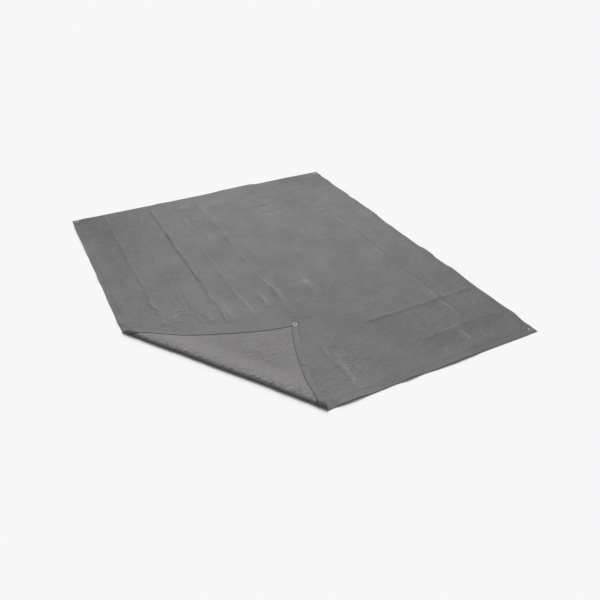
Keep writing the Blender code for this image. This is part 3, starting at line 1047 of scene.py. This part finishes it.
def sheet_lines():
    """The grid lines of the flat sheet: x of the columns and y of the rows, close at creases and edges."""
    inset = cloth_inset()
    fine_x = [LEFT + row[0] * WIDTH for row in LONG_CREASES if abs(row[3]) > FINE_CREASE]
    fine_y = [BACK - row[0] * LENGTH for row in CROSS_CREASES if abs(row[3]) > FINE_CREASE]
    places_x = [*fine_x, LEFT, RIGHT, LEFT + SIDE_HEM, RIGHT - SIDE_HEM]
    places_y = [*fine_y, FRONT, BACK, FRONT + END_HEM, BACK - END_HEM]
    columns = lines(LEFT + inset, RIGHT - inset, *SHEET_COLUMNS, places_x, FINE_REACH)
    rows = lines(FRONT + inset, BACK - inset, *SHEET_ROWS, places_y, FINE_REACH)
    columns = with_window(with_window(columns, LEFT + EYELET_INSET), RIGHT - EYELET_INSET)
    return columns, with_window(with_window(rows, FRONT + EYELET_INSET), BACK - EYELET_INSET)


def on_sheet(x, y, drop=0.0):
    """The place of flat coordinates on the flat sheet, a given depth under its middle, and its wear."""
    shift_x, shift_y = edge_wander(x, y)
    height, crest = sheet_height(x, y)
    return np.stack([x + shift_x, y + shift_y, height - drop], axis=-1), crest


def make_main_cloth():
    """The sheet that lies flat: a grid over the outline less the corner, at the sheet's height."""
    columns, rows = sheet_lines()
    low = np.clip(fold_x(rows), LEFT + cloth_inset(), RIGHT)
    plan, triangles = cut_grid(columns, rows, low, np.full_like(rows, RIGHT - cloth_inset()))
    for corner in LYING:
        plan, triangles = open_eyelet_hole(plan, triangles, eyelet_place(corner))
    x, y = plan.T
    points, crest = on_sheet(x, y)
    # Painted light over wide places raises the crest mark, and painted shade raises the darkening mark
    painted_tone = soft_places(PAINTED_LIGHT_AND_SHADE, x, y)
    marks = {
        "crest": crest + np.maximum(painted_tone, 0),
        # Darkening: the welded line at the hems' inner edge, and the painted shade of wide places
        "seam": 0.30 * bell(edge_distance(x, y)[1] / 0.0022) + np.maximum(-painted_tone, 0),
        "handled": handling(x, y),
    }
    finishes = ("cloth_top", "cloth_under")
    obj = thin_piece("sheet_cloth", points, triangles, plan, marks, finishes, "cloth", "main_sheet")
    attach(obj, "sheet")


def blend_corner(obj):
    """Bakes a folded-corner piece's placement into its mesh."""
    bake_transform(obj)


def corner_rows():
    """Distances out from the fold line for the folded corner's rows: close round the roll."""
    roll = np.linspace(0, ROLL_LENGTH, ROLL_ROWS)
    rest = lines(ROLL_LENGTH, TIP_OUT, *CORNER_ROWS, [ROLL_LENGTH], 0.05)[1:]
    return np.concatenate([roll, rest])


def make_corner_cloth():
    """The folded corner with its roll: a grid along and across the fold, carried round its section."""
    inset = cloth_inset()
    along, out = fold_place(LEFT + inset, FRONT)
    start = along - out * TIP_ALONG / TIP_OUT
    along, out = fold_place(LEFT, FRONT + inset)
    end = along + out * (FOLD_LENGTH - TIP_ALONG) / TIP_OUT
    tip_along, tip_out = fold_place(LEFT + inset, FRONT + inset)
    centre = fold_place(*eyelet_place(FOLDED))
    rows = corner_rows()
    rows = with_window(np.append(rows[rows < tip_out - TRIM], tip_out), centre[1])
    columns = with_window(lines(start, end, *CORNER_COLUMNS, [0.0], 0.01), centre[0])
    left = np.interp(rows, [rows[0], rows[-1]], [start, tip_along])
    right = np.interp(rows, [rows[0], rows[-1]], [end, tip_along])
    grid, triangles = cut_grid(columns, rows, left, right)
    grid, triangles = open_eyelet_hole(grid, triangles, np.array(centre))
    x, y = flat_place(grid[:, 0], grid[:, 1])
    points, crest = folded(x, y, 0.0)
    # Painted shadow of the hems' free inner edges on the folded corner, with their welded line
    seam = 0.5 * bell((edge_distance(x, y)[1] - 0.001) / 0.0022)
    # Painted light on the roll's top and the corner near the fold goes into the crest mark, and painted
    # shade low on the roll into the darkening mark
    painted_light, painted_shade = roll_light_and_shade(grid[:, 1])
    marks = {"crest": (crest + painted_light, crest), "seam": (seam + painted_shade, seam), "handled": handling(x, y)}
    flat = np.stack([x, y], axis=1)
    finishes = ("cloth_under", "cloth_top")
    nodes = ("corner_flap", "fold_bend")
    blend_corner(thin_piece("corner_cloth", points, triangles, flat, marks, finishes, "cloth", *nodes))


def hem_section(width):
    """A turned-under hem's section: distance in from the outline, depth under the sheet, and darkness.

    It runs in level from the free edge, makes a half turn up the outline, and ends level on top.
    """
    hem = bpy.context.scene.tarp_hem
    centre = bpy.context.scene.tarp_cloth.thickness / 2 + wrap_radius()
    seam = width - hem.seam * np.array(SEAM_STEPS)
    level = np.linspace(width - LEVEL_START * hem.seam, centre, HEM_STEPS)
    turn = np.linspace(math.pi / 2, -math.pi / 2, WRAP_STEPS)[1:]
    inset = np.concatenate([seam, level, centre - wrap_radius() * np.cos(turn), [cloth_inset()]])
    under = np.full(len(seam) + len(level), hem.drop)
    depth = np.concatenate([under, wrap_radius() * (1 + np.sin(turn)), [0.0]])
    return inset, depth, np.concatenate([SEAM_AND_SHADOW_DARK, np.zeros(len(inset) - len(SEAM_AND_SHADOW_DARK))])


def hem_piece(name, node, x, y, points, dark):
    """A hem from its rows of points: a thin closed shell with its dark welded line, partly painted shadow
    of its free edge.
    """
    flat = np.stack([x, y], axis=-1).reshape(-1, 2)
    seam = np.broadcast_to(dark, x.shape).ravel()
    marks = {"seam": seam, "handled": np.full(x.size, HEM_HANDLED)}
    triangles = grid_triangles(*x.shape)
    return thin_piece(name, points.reshape(-1, 3), triangles, flat, marks, ("cloth_hem",), "hem", node)


def sheet_hem(name, node, start, end, way, width):
    """One hem of the flat sheet: its section carried along the edge, under the sheet's own height.

    way is the sign of the direction inwards. The section runs backwards on two of the edges, so that
    every hem faces outwards. The fold line cuts off the hems that meet it.
    """
    along_x = start[1] == end[1]
    inset, depth, dark = (row[::-1] if along_x == (way > 0) else row for row in hem_section(width))
    columns, rows = sheet_lines()
    at, low, high = (columns, start[0], end[0]) if along_x else (rows, start[1], end[1])
    at = np.concatenate([[low], at[(at > low + TRIM) & (at < high - TRIM)], [high]])[:, None] + 0 * inset
    across = start[1 if along_x else 0] + way * inset + 0 * at
    x, y = (np.maximum(at, fold_x(across)), across) if along_x else (across, np.maximum(at, fold_y(across)))
    points, _ = on_sheet(x, y, depth)
    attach(hem_piece(name, node, x, y, points, dark), "sheet")


def corner_hem(name, node, width, front):
    """One hem of the folded corner: its section carried out from the fold line, round the roll."""
    inset, depth, dark = (row if front else row[::-1] for row in hem_section(width))
    out = corner_rows()[:, None] + 0 * inset
    if front:
        y = FRONT + inset + 0 * out
        out = np.minimum(out, fold_place(LEFT, y)[1])
        x = FOLD_START[0] + (-out - (y - FOLD_START[1]) * INWARD[1]) / INWARD[0]
    else:
        x = LEFT + inset + 0 * out
        out = np.minimum(out, fold_place(x, FRONT + END_HEM + HEM_GAP)[1])
        y = FOLD_START[1] + (-out - (x - FOLD_START[0]) * INWARD[0]) / INWARD[1]
    points, _ = folded(x, y, depth + 0 * out)
    blend_corner(hem_piece(name, node, x, y, points, dark))


def make_hems():
    """All six hems: four under the flat sheet, and two on the folded corner."""
    gap = END_HEM + HEM_GAP
    sheet_hem("edge_back", "hem_back", (LEFT, BACK), (RIGHT, BACK), -1, END_HEM)
    sheet_hem("edge_front", "hem_front", (LEFT, FRONT), (RIGHT, FRONT), 1, END_HEM)
    sheet_hem("edge_left", "hem_left", (LEFT, FRONT), (LEFT, BACK - gap), 1, SIDE_HEM)
    sheet_hem("edge_right", "hem_right", (RIGHT, FRONT + gap), (RIGHT, BACK - gap), -1, SIDE_HEM)
    corner_hem("edge_corner_front", "flap_hem_front", END_HEM, True)
    corner_hem("edge_corner_left", "flap_hem_left", SIDE_HEM, False)


def make_strip(corner, place):
    """One strip: a grid from the corner inwards, narrowed to a half circle at its far end."""
    half = STRIP_WIDTH / 2
    middle = END_HEM / 2
    round_start = STRIP_REACH - half
    window = EYELET_INSET + STRIP_WINDOW * np.linspace(-1, 1, STRIP_CELLS + 1)
    rows = lines(STRIP_MARGIN, STRIP_REACH, *STRIP_ROWS, [STRIP_REACH, round_start], 0.014)
    rows = np.sort(np.concatenate([rows[np.abs(rows - EYELET_INSET) > STRIP_WINDOW + TRIM], window]))
    columns = np.array([*(middle - half + edge for edge in STRIP_EDGES), *window, middle + half])
    half_here = np.sqrt(np.maximum(half * half - np.maximum(rows - round_start, 0) ** 2, 1e-9))
    plan, triangles = cut_grid(columns, rows, middle - half_here, middle + half_here)
    hole = bpy.context.scene.tarp_eyelet.washer + WASHER_PLAY
    centre = np.array([EYELET_INSET, EYELET_INSET])
    plan, triangles = open_hole(plan, triangles, centre, STRIP_CORE, STRIP_WINDOW, hole)
    across, along = plan.T
    from_round = np.hypot(np.maximum(along - round_start, 0), across - middle)
    margin = np.minimum(half - from_round, along - STRIP_MARGIN)
    crest = 0.8 * bell(margin / 0.0014) * smooth(STRIP_REACH - 0.05, STRIP_REACH - 0.02, along)
    x = place[0] - np.sign(place[0]) * along
    y = place[1] - np.sign(place[1]) * across
    put = folded if corner == FOLDED else on_sheet
    points, _ = put(x, y, bpy.context.scene.tarp_strip.drop)
    flat = np.stack([x, y], axis=1)
    name, node = "stiffener_" + corner, "strip_" + corner
    marks = {"crest": crest}
    obj = thin_piece(name, points, triangles, flat, marks, ("plastic",), "strip", node)
    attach(obj, body_of(corner))


def arc(centre, radius, start, end, steps):
    """Points on an arc of a profile, from one angle in degrees to another."""
    turn = np.radians(np.linspace(start, end, steps))
    return np.stack([centre[0] + radius * np.cos(turn), centre[1] + radius * np.sin(turn)], axis=1)


def turned(profile, centre):
    """A closed profile of (radius, height) turned about the upright line through the centre."""
    turn = np.linspace(0, 2 * math.pi, ROUND_STEPS, endpoint=False)
    x = centre[0] + profile[None, :, 0] * np.cos(turn)[:, None]
    y = centre[1] + profile[None, :, 0] * np.sin(turn)[:, None]
    z = np.broadcast_to(profile[None, :, 1], x.shape)
    points = np.stack([x, y, z], axis=-1).reshape(-1, 3)
    count = len(profile)
    i, j = np.meshgrid(np.arange(ROUND_STEPS), np.arange(count), indexing="ij")
    i, j = i.ravel(), j.ravel()
    after, up = (i + 1) % ROUND_STEPS, (j + 1) % count
    a, b, c, d = i * count + j, after * count + j, after * count + up, i * count + up
    return points, np.concatenate([np.stack([a, b, c], axis=1), np.stack([a, c, d], axis=1)])


def ring_profile():
    """An eyelet's section: a domed flange, a barrel, and its end rolled outwards over the washer."""
    eyelet = bpy.context.scene.tarp_eyelet
    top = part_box("eyelet_back_left")[1].z
    bore, flange, wall = eyelet.bore, eyelet.flange, eyelet.wall
    return np.concatenate(
        [
            arc((bore + 0.0009, top - 0.0009), 0.0009, 180, 90, 8),
            arc((flange - 0.0022, top - 0.0010), 0.0009, 90, 60, 3),
            arc((flange - 0.0006, top - 0.0007), 0.0006, 70, -40, 7),
            [(flange - 0.0008, top - 0.0011), (bore + 0.0012, top - 0.0011)],
            arc((bore + 0.0009, top - 0.0014), 0.0009 - wall, 90, 180, 5),
            [(bore + wall, 0.0010)],
            arc((bore + wall + 0.0007, 0.0007), 0.0007, 180, 225, 4)[1:],
            [(bore + wall + 0.0010, 0.0002)],
            arc((bore + wall + 0.0012, 0.0004), 0.0004, 0, -90, 5),
            arc((bore + 0.0008, 0.0008), 0.0008, 270, 180, 6),
        ]
    )


def washer_profile():
    """A washer's section: a flat ring, round at its outer edge and countersunk for the barrel's end."""
    eyelet = bpy.context.scene.tarp_eyelet
    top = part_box("washer_back_left")[1].z
    inner = eyelet.hole
    return np.concatenate(
        [
            [(inner, top), (eyelet.washer - 0.0003, top)],
            arc((eyelet.washer - 0.0003, top - 0.0003), 0.0003, 90, 0, 4)[1:],
            arc((eyelet.washer - 0.0003, 0.0003), 0.0003, 0, -90, 4),
            [(inner + 0.0016, 0.0), (inner + 0.0011, 0.0002), (inner + 0.0002, 0.0006)],
        ]
    )


def make_fitting(kind, prefix, profile):
    """The four rings or the four washers. The folded corner's own is turned over on the fold's axis."""
    for corner in CORNERS:
        node = kind + "_" + corner
        points, faces = turned(profile, box_middle(node))
        if corner == FOLDED:
            points = points * (1, 1, -1) + (0, 0, 2 * AXIS_PLACE[2])
        obj = new_piece(prefix + corner, points, outwards(points, faces), ("metal",))
        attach(obj, body_of(corner))
        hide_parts(node)


def make_stage():
    """The pale floor, the even sky, the soft light from behind, and the camera."""
    stage = bpy.context.scene.tarp_stage
    half = stage.floor_half
    mesh = bpy.data.meshes.new("floor")
    square = [(-half, -half, 0), (half, -half, 0), (half, half, 0), (-half, half, 0)]
    mesh.from_pydata(square, [], [(0, 1, 2, 3)])
    material, _, shader = new_material("floor")
    feed(shader["Base Color"], rgba(stage.floor_colour))
    feed(shader["Roughness"], 0.9)
    feed(shader["Specular IOR Level"], 0.0)
    mesh.materials.append(material)
    add_object("floor", mesh)
    world = bpy.data.worlds.new("sky")
    world.use_nodes = True
    world.node_tree.nodes["Background"].inputs["Color"].default_value = (1, 1, 1, 1)
    world.node_tree.nodes["Background"].inputs["Strength"].default_value = stage.sky
    bpy.context.scene.world = world
    sun = bpy.data.lights.new("soft_light", "SUN")
    sun.energy = stage.sun
    sun.angle = stage.sun_spread
    lamp = add_object("soft_light", sun)
    lamp.rotation_euler = Euler((math.pi / 2 - stage.sun_height, 0, math.pi - stage.sun_turn), "XYZ")
    camera = bpy.data.cameras.new("camera")
    camera.lens = stage.lens
    camera.sensor_width = 36.0
    eye = add_object("camera", camera)
    eye.location = stage.eye
    eye.rotation_euler = Euler((math.pi / 2 - stage.dip, 0, -stage.turn), "XYZ")
    bpy.context.scene.camera = eye
    bpy.context.scene.view_settings.view_transform = "Standard"


# ---------------------------------------------------------------- operators and panel


class TARP_OT_stage(bpy.types.Operator):
    """Sets up the floor, the light and the camera"""

    bl_idname = "tarp.stage"
    bl_label = "Stage"

    def execute(self, context):
        make_stage()
        return {"FINISHED"}


class TARP_OT_sheet_cloth(bpy.types.Operator):
    """Makes the creased cloth that lies flat"""

    bl_idname = "tarp.sheet_cloth"
    bl_label = "Flat cloth"

    def execute(self, context):
        make_main_cloth()
        return {"FINISHED"}


class TARP_OT_corner_cloth(bpy.types.Operator):
    """Makes the folded corner and the roll of its fold"""

    bl_idname = "tarp.corner_cloth"
    bl_label = "Folded corner"

    def execute(self, context):
        make_corner_cloth()
        return {"FINISHED"}


class TARP_OT_hems(bpy.types.Operator):
    """Makes the turned-under hems of the sheet and of the folded corner"""

    bl_idname = "tarp.hems"
    bl_label = "Hems"

    def execute(self, context):
        make_hems()
        return {"FINISHED"}


class TARP_OT_strips(bpy.types.Operator):
    """Makes the stiffening strip of each corner"""

    bl_idname = "tarp.strips"
    bl_label = "Stiffening strips"

    def execute(self, context):
        for corner, place in CORNERS.items():
            make_strip(corner, place)
        return {"FINISHED"}


class TARP_OT_eyelets(bpy.types.Operator):
    """Makes each corner's eyelet and its washer"""

    bl_idname = "tarp.eyelets"
    bl_label = "Eyelets"

    def execute(self, context):
        make_fitting("eyelet", "ring_", ring_profile())
        make_fitting("washer", "backing_", washer_profile())
        return {"FINISHED"}


OPERATORS = (
    TARP_OT_stage,
    TARP_OT_sheet_cloth,
    TARP_OT_corner_cloth,
    TARP_OT_hems,
    TARP_OT_strips,
    TARP_OT_eyelets,
)


class TARP_PT_panel(bpy.types.Panel):
    bl_label = "Tarpaulin"
    bl_idname = "TARP_PT_panel"
    bl_space_type = "VIEW_3D"
    bl_region_type = "UI"
    bl_category = "Tarpaulin"

    def draw(self, context):
        for operator in OPERATORS:
            self.layout.operator(operator.bl_idname)
        for name, group in SETTINGS.items():
            box = self.layout.box()
            for prop in group.__annotations__:
                box.prop(getattr(context.scene, name), prop)


def register():
    for name, group in SETTINGS.items():
        bpy.utils.register_class(group)
        setattr(bpy.types.Scene, name, PointerProperty(type=group))
    for made in (*OPERATORS, TARP_PT_panel):
        bpy.utils.register_class(made)


def unregister():
    for made in (TARP_PT_panel, *OPERATORS):
        bpy.utils.unregister_class(made)
    for name, group in SETTINGS.items():
        delattr(bpy.types.Scene, name)
        bpy.utils.unregister_class(group)


def main():
    register()
    bpy.ops.tarp.stage()
    bpy.ops.tarp.sheet_cloth()
    bpy.ops.tarp.corner_cloth()
    bpy.ops.tarp.hems()
    bpy.ops.tarp.strips()
    bpy.ops.tarp.eyelets()


if __name__ == "__main__":
    main()
